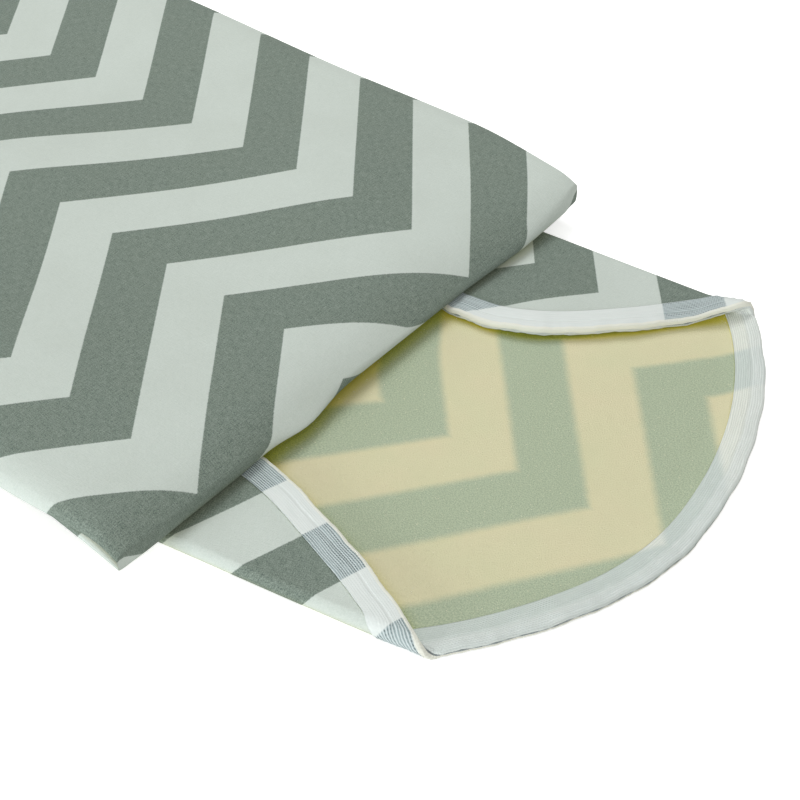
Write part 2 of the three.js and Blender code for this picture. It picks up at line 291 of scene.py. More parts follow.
TOP_SAG = 1.6  # between the side folds
SAG_ENDS = (-70, 40)  # across, where the sag is full
BACK_EASE = 70  # the top's relief sets in over this length
BACK_WAVES = ((0.05, 44, 1), (0.03, 19, 0))  # in the back fold's reach
TOP_WAVES = ((0.45, 41, 57, 0), (0.35, 29, -38, 2))  # height, lengths along and across, start
TOP_PUFFS = (  # where the top stands higher: place along and across, width and height
    (-95, 54, 48, 5),
    (-240, -30, 45, 3.6),
    (-125, -125, 42, 2.3),
)
DROOP = {"left": 4, "right": 0.5}  # the top rolls down towards its pressed front
DROOP_ENDS = (40, 125)  # across, where the left depth turns into the right
DROOP_MORE = (25, 75, 7.5)  # where it comes down further: middle, width and depth
ROLL = (3.5, 14)  # elsewhere its last edge comes down further: depth and length
DROOP_LENGTH = 46
S_ROLL = S_FRONT - DROOP_LENGTH
SQUEEZE = 0.7  # how much thinner the layers are there
SIDE_ROUND = (2.2, 11)  # the top rounds off at its sides: depth and width
PAST_FRONT = 2  # the roll and the rounding go on past their ends, to these shares of their lengths
PAST_SIDE = 1.3
FRONT_REACH = 1.6  # of the pressed front fold, and its fuller places: middle, width, height
FRONT_BULGES = ((95, 36, 3.4), (-68, 18, 3.8))
FRONT_CORNER = 14
CORNER_SHARE = 0.25  # how much of its reach the front keeps at its corners
CUBIC_REACH = 0.75  # how near a cubic curve gets to its middle points
SLOPE_HALF = 0.5  # its first slope is measured this far each way
FRONT_PULL = 2.4  # how far the front is drawn back between its corners
PULL_START = (-110, -75)  # across, where that sets in
PULL_EASE = (95, 140)  # and where it gets less, by this share
PULL_LESS = 0.6


def strip_border(side, s):
    """The line on the cloth where the strip's flat part meets a side fold."""
    drawn = FRONT_DRAW[side] * smooth(S_FRONT - FRONT_DRAW_LENGTH, S_FRONT, s)
    drawn = drawn + TAIL_DRAW * np.clip((s - S_TAIL) / TAIL_LENGTH, 0, 1)
    return BUNDLE_BORDER[side] - SIDES[side] * drawn


def strip_half_width(side, s):
    """The distance from the cloth's middle to its cut edge, which rounds off at the tail's end."""
    short = np.maximum(0, TAIL_CORNER - (S_END - s))
    rounded = HALF_WIDTH - TAIL_CORNER + np.sqrt(np.maximum(0, TAIL_CORNER**2 - short**2))
    least = np.abs(strip_border(side, s)) + SIDE_RADIUS + LEAST_FLAP
    return np.maximum(rounded, least)


def near_front(x):
    """From 0 where the top begins to roll down, to 1 at its front end."""
    return np.clip((x - (FRONT_X - DROOP_LENGTH)) / DROOP_LENGTH, 0, PAST_FRONT)


def top_relief(x, y):
    """How far the top's face lies above or below a flat one."""
    low, high = SAG_ENDS
    middle = smooth(BUNDLE_BORDER["left"], low, y) * smooth(BUNDLE_BORDER["right"], high, y)
    behind = smooth(BACK_X, BACK_X + BACK_EASE, x)
    ripples = sum(tall * np.sin(x / along + y / across + start) for tall, along, across, start in TOP_WAVES)
    puffs = sum(tall * hump(at, wide, x) * hump(across, wide, y) for at, across, wide, tall in TOP_PUFFS)
    across, wide, deep = DROOP_MORE
    more = hump(across, wide, y)
    droop = DROOP["left"] + (DROOP["right"] - DROOP["left"]) * smooth(*DROOP_ENDS, y) + deep * more
    edge, length = ROLL
    rolled = edge * (1 - more) * np.clip(1 + (x - FRONT_X) / length, 0, PAST_FRONT) ** 2
    depth, width = SIDE_ROUND
    inside = np.minimum(y - BUNDLE_BORDER["left"], BUNDLE_BORDER["right"] - y)
    rounded = behind * depth * np.clip(1 - inside / width, 0, PAST_SIDE) ** 2
    return behind * (ripples + puffs - TOP_SAG * middle) - droop * near_front(x) ** 3 - rolled - rounded


def front_reach(y):
    """How far the pressed front fold reaches out at a place across it."""
    reach = FRONT_REACH + sum(height * hump(middle, width, y) for middle, width, height in FRONT_BULGES)
    left = BUNDLE_BORDER["left"] + FRONT_DRAW["left"] - SIDE_RADIUS
    right = BUNDLE_BORDER["right"] - FRONT_DRAW["right"] + SIDE_RADIUS
    corners = smooth(left, left + FRONT_CORNER, y) * smooth(right, right - FRONT_CORNER, y)
    return reach * (CORNER_SHARE + (1 - CORNER_SHARE) * corners)


def front_pull(y):
    """How far the front is drawn back at a place across it."""
    return FRONT_PULL * smooth(*PULL_START, y) * (1 - PULL_LESS * smooth(*PULL_EASE, y))


def lay_strip(s, v, depth):
    """Where a point of the strip's cloth lies."""
    height = np.broadcast_to(depth, s.shape)
    y = v
    for side, sign in SIDES.items():
        border = strip_border(side, s)
        over = sign * (v - border)
        _, _, out, up = round_side(over, depth)
        y = np.where(over > 0, border + sign * out, y)
        height = np.where(over > 0, up, height)

    top_x = BACK_X + s - S_TOP
    flat_x = np.minimum(top_x, FRONT_X - np.maximum(s - S_TAIL, 0))
    near = np.minimum(near_front(flat_x), 1) ** 2
    height = height * (1 - SQUEEZE * near)
    turn = np.clip((s - S_BACK) / BACK_RADIUS, 0, math.pi)
    back = BACK_RADIUS - height
    soft = 1 + waves(BACK_WAVES, y)
    x = np.where(s < S_BACK, NOSE_REACH - s, BACK_X - back * np.sin(turn) * soft)
    z = BACK_RADIUS - back * np.cos(turn)

    on_top = s > S_TOP
    x = np.where(on_top, top_x, x)
    z = np.where(on_top, BUNDLE_HEIGHT - height + top_relief(np.minimum(top_x, FRONT_X), y), z)

    # The front fold is a cubic curve from the top's end to the tail's start.
    on_front = s > S_FRONT
    share = np.clip((s - S_FRONT) / FRONT_ARC, 0, 1)
    start = BUNDLE_HEIGHT - height + top_relief(FRONT_X, y)
    slope = (top_relief(FRONT_X + SLOPE_HALF, y) - top_relief(FRONT_X - SLOPE_HALF, y)) / (2 * SLOPE_HALF)
    lead = front_reach(y) * (1 - height / FRONT_RADIUS) / CUBIC_REACH
    end = TAIL_BOTTOM + height
    weights = [(1 - share) ** 3, 3 * (1 - share) ** 2 * share, 3 * (1 - share) * share**2, share**3]
    front_x = FRONT_X + lead * (weights[1] + weights[2])
    front_z = start * weights[0] + (start + slope * lead) * weights[1] + end * (weights[2] + weights[3])
    x = np.where(on_front, front_x, x)
    z = np.where(on_front, front_z, z)

    on_tail = s > S_TAIL
    x = np.where(on_tail, FRONT_X - (s - S_TAIL), x)
    z = np.where(on_tail, end, z)
    return np.stack([x - front_pull(y) * near, y, z], -1)


# The print

DRIFT = {"base": 3.8, "top": -3.9}  # how far the print has crept across under the folds
TOP_CREEP = 1.2  # and along
SPAN = 100  # the nose's changes below are given for this length
NOSE_CREEP = {"along": (2.4, -4.6), "across": (4.5, -7.5)}  # on the nose, and its change over a span
NOSE_GATHER = (0.16, -0.115)  # how much the cloth there is drawn together across, and its change
NOSE_BOW = 7.5  # how far its stripes bow, a span from the middle
CREEP_START = (-10, 12)  # along, where all this sets in
CREEP_EDGE = 25  # and how near to the folds it fades out
FLAP_PRINT_START = -60
FLAP_PRINT = {"left": (3.5, None), "right": (0, 229.5)}  # a shift along, and a line that it mirrors about


def print_place(s, v):
    """The place on the print, which is what the materials read."""
    share = smooth(S_BACK, S_TOP, s)
    drift = DRIFT["base"] + (DRIFT["top"] - DRIFT["base"]) * share
    return np.stack([s + TOP_CREEP * share, v - drift], -1) * MM


def base_print(x, y):
    """The print on the base and the nose, where it has moved along and across."""
    s, v = NOSE_REACH - x, y
    laid = lay_base(x, y, 0.0)
    flat = smooth(*CREEP_START, x)
    for side, (along, across) in FLAP_PRINT.items():
        at, _, _, over = past_fold(side, x, y)
        share = smooth(0, ARC, over) * smooth(FLAP_PRINT_START, NOSE_SPLIT, at)
        s = s + share * (NOSE_REACH - laid[..., 0] + along - s if across else along)
        v = v + share * (across - laid[..., 1] - v if across else 0)
        flat = flat * smooth(0, CREEP_EDGE, -over)
    reach = x / SPAN
    creep = {way: first + change * reach for way, (first, change) in NOSE_CREEP.items()}
    gather = NOSE_GATHER[0] + NOSE_GATHER[1] * reach
    s = s + flat * (creep["along"] + NOSE_BOW * (y / SPAN) ** 2)
    v = v + flat * (creep["across"] + gather * y)
    return print_place(s, v)


# Meshes

NUDGE = 0.1  # how far apart the points lie that a surface's direction is measured from
FLAT_COLUMNS = 72
FOLD_COLUMNS = 9
STRIP_COLUMNS = {"left": 6, "right": 12}  # of its folded-in sides
BASE_COLUMNS = {"left": 10, "right": 16}
FLAP_COLUMNS = 16
FLAP_STEP = 2
NOSE_COLUMNS = 97
NOSE_ROWS = 60
CORNER_ENDS = (20.0, 130.0)  # a flap's corner is looked for between these stations
LEAST_CORNER = 0.6  # the width that a flap's sheets have left there
LEAST_TIP = 1  # and where its tip ends, past the fold
RIM_SEARCH = (-5, 25)  # the rim is looked for this far out from its oval
RIM_ANGLES = (1.5, 0.2)
RIM_TRIES = 400


def add_object(name, data):
    made = bpy.data.objects.new(name, data)
    bpy.context.scene.collection.objects.link(made)
    return made


def new_mesh(name, points, faces, material):
    mesh = bpy.data.meshes.new(name)
    mesh.from_pydata(((points + ORIGIN) * MM).tolist(), [], faces, shade_flat=False)
    mesh.materials.append(material)
    return add_object(name, mesh)


def set_places(mesh, layer_name, places):
    """Writes a place for each vertex into a map that the materials read."""
    layer = mesh.uv_layers.new(name=layer_name)
    corners = np.zeros(len(mesh.loops), np.int32)
    mesh.loops.foreach_get("vertex_index", corners)
    layer.data.foreach_set("uv", places[corners].astype(np.float32).ravel())


def quads(rows, columns, offset, flip):
    index = np.arange(rows * columns).reshape(rows, columns) + offset
    faces = np.stack([index[:-1, :-1], index[:-1, 1:], index[1:, 1:], index[1:, :-1]], -1).reshape(-1, 4)
    return faces[:, ::-1] if flip else faces


def rim_of(rows, columns):
    """The grid's outer points in a loop."""
    index = np.arange(rows * columns).reshape(rows, columns)
    return np.concatenate([index[0, :-1], index[:-1, -1], index[-1, :0:-1], index[:0:-1, 0]])


def directions(first, second, lay, depth):
    """The direction square to the laid cloth at each point."""
    down = lay(first + NUDGE, second, depth) - lay(first - NUDGE, second, depth)
    across = lay(first, second + NUDGE, depth) - lay(first, second - NUDGE, depth)
    return unit(np.cross(down, across))


def add_sheet(name, first, second, lay, printed, depths, material):
    """A closed thin sheet between two depths of the cloth."""
    rows, columns = first.shape
    grids = [lay(first, second, depth) for depth in depths]
    thickness = grids[0] - grids[1]
    normals = []
    for depth, way in zip(depths, (thickness, -thickness)):
        normal = directions(first, second, lay, depth)
        normals.append(normal * np.sign((normal * way).sum(-1, keepdims=True)))
    row, column = rows // 2, columns // 2
    face = grids[0]
    facing = np.cross(
        face[row, column] - face[row, column - 1], face[row, column] - face[row - 1, column]
    )
    flip = np.dot(facing, normals[0][row, column]) < 0
    count = rows * columns
    loop = rim_of(rows, columns)
    after = np.roll(loop, -1)
    border = np.stack([loop, loop + count, after + count, after], -1)
    border = border[:, ::-1] if flip else border
    faces = np.concatenate([quads(rows, columns, 0, flip), quads(rows, columns, count, not flip), border])
    points = np.concatenate([grid.reshape(-1, 3) for grid in grids])
    piece = new_mesh(name, points, faces.tolist(), material)
    flat_faces = len(faces) - len(border)
    at_vertices = np.concatenate([normal.reshape(-1, 3) for normal in normals])
    corner_normals = np.zeros((len(faces), 4, 3))
    corner_normals[:flat_faces] = at_vertices[faces[:flat_faces]]
    quad = points[faces[flat_faces:]]
    side = unit(np.cross(quad[:, 1] - quad[:, 0], quad[:, 3] - quad[:, 0]))
    corner_normals[flat_faces:] = side[:, None]
    piece.data.normals_split_custom_set(corner_normals.reshape(-1, 3).tolist())
    cloth = printed(first, second).reshape(-1, 2)
    set_places(piece.data, "cloth", np.concatenate([cloth, cloth]))
    return piece


def segments(marks, counts):
    """Evenly spaced columns between marks, each mark once."""
    parts = [
        start + (end - start) * np.linspace(0, 1, count, endpoint=False)
        for start, end, count in zip(marks[:-1], marks[1:], counts)
    ]
    return np.concatenate([*parts, marks[-1]], axis=1)


def rows_between(start, end, step):
    return np.linspace(start, end, max(2, round(abs(end - start) / step) + 1))[:, None]


def strip_grid(start, end, step):
    s = rows_between(start, end, step)
    left, right = (strip_border(side, s) for side in SIDES)
    left_end, right_end = (sign * (strip_half_width(side, s) - EDGE) for side, sign in SIDES.items())
    marks = [left_end, left - ARC, left, right, right + ARC, right_end]
    counts = (STRIP_COLUMNS["left"], FOLD_COLUMNS, FLAT_COLUMNS, FOLD_COLUMNS, STRIP_COLUMNS["right"])
    v = segments(marks, counts)
    return np.broadcast_to(s, v.shape), v


def base_grid(start, end, step):
    at = rows_between(start, end, step)
    width = {side: flap_width(side, at) - EDGE for side in SIDES}
    none, arc = 0 * at, ARC + 0 * at
    left = segments([width["left"], arc, none], (BASE_COLUMNS["left"], FOLD_COLUMNS))
    right = segments([none, arc, width["right"]], (FOLD_COLUMNS, BASE_COLUMNS["right"]))
    share = segments([none, 1 + none], (FLAT_COLUMNS,))[:, 1:-1]
    flat_y = border_at("left", at) * (1 - share) + border_at("right", at) * share
    flat = np.broadcast_to(at, flat_y.shape), flat_y
    parts = flap_cloth("left", at, left), flat, flap_cloth("right", at, right)
    return [np.concatenate(places, axis=1) for places in zip(*parts)]


def narrows(side, end, width):
    """The station, before a last one, where a flap gets narrower than a width."""
    low, high = np.array(CORNER_ENDS[0]), np.array(end)
    return float(halve(low, high, lambda at: flap_width(side, at) < width))


def corner_of(side):
    """The station where a fold of the nose runs out at the rim."""
    return narrows(side, CORNER_ENDS[1], EDGE + LEAST_CORNER)


def tip_end(side):
    """The station where the part of a flap that lies past its fold runs out."""
    return narrows(side, corner_of(side), ARC + EDGE + LEAST_TIP)


def nose_grid():
    """The nose between its folds, ruled from under the bundle to the rim."""
    ends = [rim_angle(side, corner_of(side)) for side in SIDES]
    angles = np.linspace(*ends, NOSE_COLUMNS)
    rim_x, rim_y, normal = rim_point(angles)
    rim_x = rim_x + normal[0] * EDGE
    rim_y = rim_y + normal[1] * EDGE
    share = rows_between(0, 1, 1 / NOSE_ROWS)
    start_y = np.linspace(border_at("left", NOSE_SPLIT), border_at("right", NOSE_SPLIT), len(angles))
    return NOSE_SPLIT + (rim_x - NOSE_SPLIT) * share, start_y + (rim_y - start_y) * share


def flap_grid(side, start, end, lying):
    """A nose flap between two stations: what lies past its fold, or else what goes round it."""
    at = rows_between(start, end, FLAP_STEP)
    width = flap_width(side, at) - EDGE
    marks = [ARC + 0 * at, width] if lying else [0 * at, np.minimum(ARC, width)]
    return flap_cloth(side, at, segments(marks, (FLAP_COLUMNS,)))


def rim_point(angle):
    """A point of the nose's cut edge, and the direction in from it."""
    x = NOSE_REACH - NOSE_LENGTH + NOSE_LENGTH * np.cos(angle)
    oval = np.array([x, cut_middle(x) + HALF_WIDTH * np.sin(angle)])
    normal = -np.array([np.cos(angle) / NOSE_LENGTH, np.sin(angle) / HALF_WIDTH])
    normal = normal / np.linalg.norm(normal, axis=0)
    none = np.zeros(np.shape(angle))
    low, high = (none + end for end in RIM_SEARCH)
    out = halve(low, high, lambda out: from_rim(*(oval - normal * out)) < 0)
    return *(oval - normal * out), normal


def rim_angle(side, at):
    """The angle of the cut edge across from a station of a fold."""
    angles = SIDES[side] * np.linspace(*RIM_ANGLES, RIM_TRIES)
    x, y, _ = rim_point(angles)
    return float(np.interp(at, station_of(side, x, y), angles))


# The tape's section, as insets from the cut edge and depths below the print

RIB = 0.95
RIB_HEIGHT = 0.03
RIB_POINTS = 3
CREASE = 5.3  # a crease runs along the tape this far in
CREASE_DEPTH = 0.22
CREASE_WIDTH = 0.45
BEND_INSET = 0.3  # the tape's fold: where it starts, how far it bulges out, and its points
BULGE = 0.9
BEND_POINTS = 11
INNER_INSET = 0.5
FACE_POINT = 5  # a point of the section on the cotton's side, and one inside
INNER_POINT = -2
FOAM_SIDE = 20  # added to the inset in the tape's map where it lies on the foam
GATHER = (0.16, 0.83)  # the gathers in the tape's thickness: height, length, its drift, coarse ones
GATHER_DRIFT = ((2, 7, 0),)
COARSE_GATHER = ((0.14, 2.1, 1),)
WANDER = ((0.22, 3.7, 0), (0.16, 8.9, 2))  # in the place of its fold


def tape_section():
    """The tape's outline: over the cotton, round the fold, under the foam and back inside."""
    inset = np.arange(TAPE_WIDTH, BEND_INSET, -RIB / RIB_POINTS)
    rib = RIB_HEIGHT * np.sin(2 * math.pi * inset / RIB) - CREASE_DEPTH * hump(CREASE, CREASE_WIDTH, inset)
    outer = TAPE_GAP + TAPE_THICKNESS
    half = FOAM[1] / 2 + outer
    turn = np.linspace(0, math.pi, BEND_POINTS)
    bend = np.stack([BEND_INSET - BULGE * np.sin(turn), FOAM[1] / 2 - half * np.cos(turn)], -1)
    over = np.stack([inset, -outer - rib], -1)
    under = np.stack([inset[::-1], FOAM[1] + outer + rib[::-1]], -1)
    low, high = FOAM[1] + TAPE_GAP, -TAPE_GAP
    inside = [(TAPE_WIDTH, low), (INNER_INSET, low), (INNER_INSET, high), (TAPE_WIDTH, high)]
    return np.concatenate([over, bend, under, inside])


def tape_surface(path, inside, lay, printed):
    """The gathered tape along a cut edge: points, the ways they face, and places on print and tape."""
    section = tape_section()
    steps = np.linalg.norm(np.diff(path, axis=0), axis=1)
    length = np.concatenate([[0], np.cumsum(steps)])[:, None]
    along = unit(np.gradient(path, length[:, 0], axis=0))
    inset, depth = section[:, 0], section[:, 1]
    loose = np.clip(1 - inset / TAPE_WIDTH, 0, 1)
    away = np.sign(depth - FOAM[1] / 2)
    tall, long = GATHER
    gather = tall * np.sin(length / long + waves(GATHER_DRIFT, length)) + waves(COARSE_GATHER, length)
    insets = inset + waves(WANDER, length) * loose
    first = path[:, :1] - inside * along[:, 1:] * insets
    second = path[:, 1:] + inside * along[:, :1] * insets
    points = lay(first, second, depth + away * gather * loose)
    around = np.roll(points, -1, axis=1) - np.roll(points, 1, axis=1)
    facing = unit(np.cross(np.gradient(points, axis=0), around))
    row = len(points) // 2
    through = points[row, FACE_POINT] - points[row, INNER_POINT]
    facing = facing * np.sign(np.dot(facing[row, FACE_POINT], through))
    on_tape = np.stack(np.broadcast_arrays(length, inset + FOAM_SIDE * (away > 0)), -1) * MM
    return points, facing, printed(first, second), on_tape


def add_tape(name, surface, marks, order, move, node):
    """A length of tape, from one of its surface's marked rows to the next."""
    start, end = marks[order : order + 2]
    points, facing, cloth, on_tape = (grid[start : end + 1] for grid in surface)
    rows, columns = points.shape[:2]
    index = np.arange(rows * columns).reshape(rows, columns)
    after = np.roll(index, -1, axis=1)
    wall = np.stack([index[:-1], after[:-1], after[1:], index[1:]], -1).reshape(-1, 4)
    corner = points.reshape(-1, 3)[wall[FACE_POINT]]
    turned = np.dot(np.cross(corner[1] - corner[0], corner[3] - corner[0]), facing[0, FACE_POINT]) < 0
    ends = [index[0, ::-1], index[-1]]
    faces = [face[::-1] if turned else face for face in [*wall, *ends]]
    piece = new_mesh(name, points.reshape(-1, 3), [face.tolist() for face in faces], tape)
    normals = [facing.reshape(-1, 3)[np.array(faces[: len(wall)]).ravel()]]
    for ring, neighbour, face in ((points[0], points[1], ends[0]), (points[-1], points[-2], ends[1])):
        out = (ring - neighbour).mean(0)
        normals.append(np.broadcast_to(out / np.linalg.norm(out), (len(face), 3)))
    piece.data.normals_split_custom_set(np.concatenate(normals).tolist())
    set_places(piece.data, "cloth", cloth.reshape(-1, 2))
    set_places(piece.data, "tape", on_tape.reshape(-1, 2))
    move(piece)
    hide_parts(node)


def joined(parts):
    """One path from several that meet end to end, and the rows where they meet."""
    marks = np.cumsum([len(part) - 1 for part in parts])
    return np.concatenate([parts[0], *[part[1:] for part in parts[1:]]]), [0, *marks.tolist()]


# Materials

STRIPE_PERIOD = 72
STRIPE_START = 34.6
CHEVRON_RISE = 70.9
CHEVRON_HALF = 89
CHEVRON_MIDDLE = -36

# Screen colours of 0 to 255. Two in a row are the ends of a range.
GREY_PRINT = ((80, 95, 86), (150, 162, 150))
BARE_COTTON = ((194, 204, 195), (209, 217, 209))
COTTON_CLOUD = (130, 138, 118)
COTTON_SLUB = (168, 176, 166)
COTTON_GAP_SHADE = (255, 252, 235)
FOAM_CREAM = ((227, 217, 182), (216, 217, 178))
FOAM_PORE = (180, 172, 120)
FOAM_PRINT = ((158, 173, 146), (194, 204, 176))
FOAM_GAP_SHADE = (248, 239, 114)
FOAM_PAINTED_GLINT = (250, 247, 222)
TAPE_WHITE = ((204, 213, 208), (230, 234, 230))
TAPE_VEIL = ((202, 212, 211), (150, 166, 166))
TAPE_DOT = (88, 102, 102)
TAPE_FOLD = (226, 227, 214)
TAPE_ON_FOAM = ((225, 229, 218), (200, 210, 203))
TAPE_RIB_SHADE = (150, 162, 155)
TAPE_STREAK = (238, 241, 237)
FLOOR_COLOUR = (245, 245, 243)

GAP_SHADE_REACH = 14 * MM  # how wide a gap counts as narrow, for the painted gap shade
GAP_SHADE_SAMPLES = 8
GAP_SHADE_SHARES = (0.85, 0.35)  # of open sky, where the painted shade tint sets in and where it is full
COTTON_RELIEF = 0.35 * MM
FOAM_RELIEF = 0.5 * MM
TAPE_RELIEF = 0.08 * MM
TAPE_FLAT = 0.35  # how much of its relief the tape keeps on white print
TAPE_FOAM_RELIEF = 0.8  # and on the foam


def linear(colour):
    """A screen colour as the light values that a shader takes."""
    shares = [value / 255 for value in colour]
    return (*[c / 12.92 if c <= 0.04045 else ((c + 0.055) / 1.055) ** 2.4 for c in shares], 1)


class Shader:
    """The nodes of a material, or of the world, made one call at a time."""

    def __init__(self, name, kind="materials", surface="Principled BSDF"):
        self.material = getattr(bpy.data, kind).new(name)
        self.material.use_nodes = True
        self.tree = self.material.node_tree
        self.surface = self.tree.nodes[surface]

    def node(self, kind, inputs=(), **settings):
        """A new node, with its settings and what goes into its inputs."""
        made = self.tree.nodes.new("ShaderNode" + kind)
        for key, value in settings.items():
            setattr(made, key, value)
        for key, value in dict(inputs).items():
            self.feed(made.inputs[key], value)
        return made

    def feed(self, socket, value):
        if isinstance(value, bpy.types.NodeSocket):
            self.tree.links.new(value, socket)
        else:
            socket.default_value = value

    def math(self, operation, first, second=0.0):
        return self.node("Math", {0: first, 1: second}, operation=operation).outputs[0]

    def times(self, first, second):
        return self.math("MULTIPLY", first, second)

    def step(self, value, start, end, low=0.0, high=1.0):
        given = enumerate((value, start, end, low, high))
        return self.node("MapRange", given, interpolation_type="SMOOTHSTEP").outputs[0]

    def mix(self, share, first, second, blend="MIX"):
        given = {"Factor": share, 6: first, 7: second}
        return self.node("Mix", given, data_type="RGBA", blend_type=blend).outputs[2]

    def seen(self):
        """1 for rays straight from the camera, and 0 for all others."""
        return self.node("LightPath").outputs["Is Camera Ray"]

    def place(self, layer):
        """The two coordinates of a map, in millimetres."""
        source = self.node("UVMap", uv_map=layer)
        given = {0: source.outputs[0], "Scale": 1 / MM}
        scaled = self.node("VectorMath", given, operation="SCALE").outputs[0]
        apart = self.node("SeparateXYZ", {0: scaled})
        return scaled, apart.outputs[0], apart.outputs[1]

    def noise(self, place, scale, detail=2.0, stretch=(1, 1, 1)):
        mapped = self.node("VectorMath", {0: place, 1: stretch}, operation="MULTIPLY").outputs[0]
        given = {"Vector": mapped, "Scale": scale, "Detail": detail}
        return self.node("TexNoise", given).outputs[0]

    def chevron(self, s, v, blur, ragged=0.0):
        """1 on the grey stripes and 0 on the white ones, with edges that soften over blur millimetres."""
        across = self.math("DIVIDE", self.math("SUBTRACT", v, CHEVRON_MIDDLE), CHEVRON_HALF)
        zigzag = self.times(self.math("PINGPONG", across, 1.0), CHEVRON_RISE)
        along = self.math("SUBTRACT", self.math("SUBTRACT", s, zigzag), STRIPE_START)
        turns = self.math("ADD", self.math("DIVIDE", along, STRIPE_PERIOD), 0.25)
        off = self.math("ABSOLUTE", self.math("SUBTRACT", self.math("FRACT", turns), 0.5))
        inside = self.times(self.math("SUBTRACT", 0.25, off), STRIPE_PERIOD)
        return self.step(self.math("ADD", inside, ragged), -blur, blur)

    def tint_hidden(self, colour, tint):
        """Paints shade into a colour: what lies in a narrow gap is tinted, standing in for shade and for
        light bounced off the foam.
        """
        given = {"Distance": GAP_SHADE_REACH}
        sky = self.node("AmbientOcclusion", given, samples=GAP_SHADE_SAMPLES).outputs["AO"]
        return self.mix(self.step(sky, *GAP_SHADE_SHARES), colour, linear(tint), "MULTIPLY")

    def add(self, first, second, share=1.0):
        """The first value and a share of the second."""
        return self.math("ADD", first, self.times(second, share))

    def between(self, share, colours):
        """A colour from a range."""
        return self.mix(share, *map(linear, colours))

    def over(self, share, first, colour):
        """A colour laid over another."""
        return self.mix(share, first, linear(colour))

    def bump(self, height, distance):
        given = {"Height": height, "Distance": distance, "Strength": 1.0}
        self.set(Normal=self.node("Bump", given).outputs[0])

    def set(self, **values):
        for name, value in values.items():
            self.feed(self.surface.inputs[name.replace("_", " ")], value)


def cotton_material():
    """Plain weave with a grey chevron print: slubs run both ways and the grey is heathered. A warm painted
    shade tints it in narrow gaps.
    """
    shader = Shader("printed_cotton")
    place, s, v = shader.place("cloth")
    warp = shader.noise(place, 1.0, 3.0, stretch=(0.25, 1.9, 1))
    weft = shader.noise(place, 1.0, 3.0, stretch=(1.9, 0.25, 1))
    threads = shader.times(shader.math("ADD", warp, weft), 0.5)
    grain = shader.noise(place, 1.6)
    cloudy = shader.noise(place, 0.03, 3.0)
    ragged = shader.times(shader.math("SUBTRACT", grain, 0.5), 1.1)
    grey = shader.chevron(s, v, 0.35, ragged)
    heather = shader.step(shader.add(threads, grain, 0.4), 0.45, 0.95)
    speckle = shader.step(shader.noise(place, 2.3, 1.0), 0.35, 0.65)
    heather = shader.add(shader.times(heather, 0.55), speckle, 0.45)
    cloth = shader.mix(grey, shader.between(heather, BARE_COTTON), shader.between(heather, GREY_PRINT))
    cloth = shader.over(shader.step(cloudy, 0.35, 0.7, 0.0, 0.05), cloth, COTTON_CLOUD)
    slubs = shader.step(shader.noise(place, 0.55, 1.0, stretch=(1, 3, 1)), 0.73, 0.78, 0.0, 0.25)
    # painted shade: cotton in narrow gaps is tinted warm, for shade and light bounced off the foam
    cloth = shader.tint_hidden(shader.over(slubs, cloth, COTTON_SLUB), COTTON_GAP_SHADE)
    shader.set(Base_Color=cloth, Roughness=0.92)
    shader.set(Sheen_Weight=0.05, Sheen_Roughness=0.5, Specular_IOR_Level=0.2)
    crossings = [shader.math("SINE", shader.times(way, 9.0)) for way in (s, v)]
    shader.bump(shader.add(threads, shader.times(*crossings), 0.12), COTTON_RELIEF)
    return shader.material


def foam_material():
    """Thin cream foam. The print behind it shows through, soft at its edges. Glints where some cells catch
    light are painted into its colour, and narrow gaps get a painted yellow shade.
    """
    shader = Shader("foam_pad")
    place, s, v = shader.place("cloth")
    pores = shader.noise(place, 1.7, 4.0)
    cells = shader.noise(place, 0.3)
    cloudy = shader.noise(place, 0.028)
    wander = shader.times(shader.math("SUBTRACT", cells, 0.5), 1.6)
    shown = shader.chevron(s, v, 3.2, wander)
    cream = shader.between(cloudy, FOAM_CREAM)
    cream = shader.over(shader.step(pores, 0.25, 0.75, 0.12, 0.0), cream, FOAM_PORE)
    through = shader.between(shader.step(pores, 0.3, 0.7), FOAM_PRINT)
    # painted shade: foam in narrow gaps turns a deeper yellow, for shade and light bounced between the foam
    # layers
    foam = shader.tint_hidden(shader.mix(shown, cream, through), FOAM_GAP_SHADE)
    # painted glints: rare small cells are coloured bright, as if catching light, and are raised a little too
    dots = shader.node("TexVoronoi", {"Vector": place, "Scale": 0.8})
    rare = shader.math("GREATER_THAN", shader.noise(place, 0.37, 1.0), 0.6)
    painted_glint = shader.times(shader.step(dots.outputs["Distance"], 0.22, 0.12), rare)
    painted_glint = shader.times(painted_glint, 0.75)
    shader.set(Base_Color=shader.over(painted_glint, foam, FOAM_PAINTED_GLINT), Roughness=0.95)
    shader.set(Specular_IOR_Level=0.2, Sheen_Weight=0.03)
    shader.bump(shader.add(pores, painted_glint, 0.6), FOAM_RELIEF)
    return shader.material


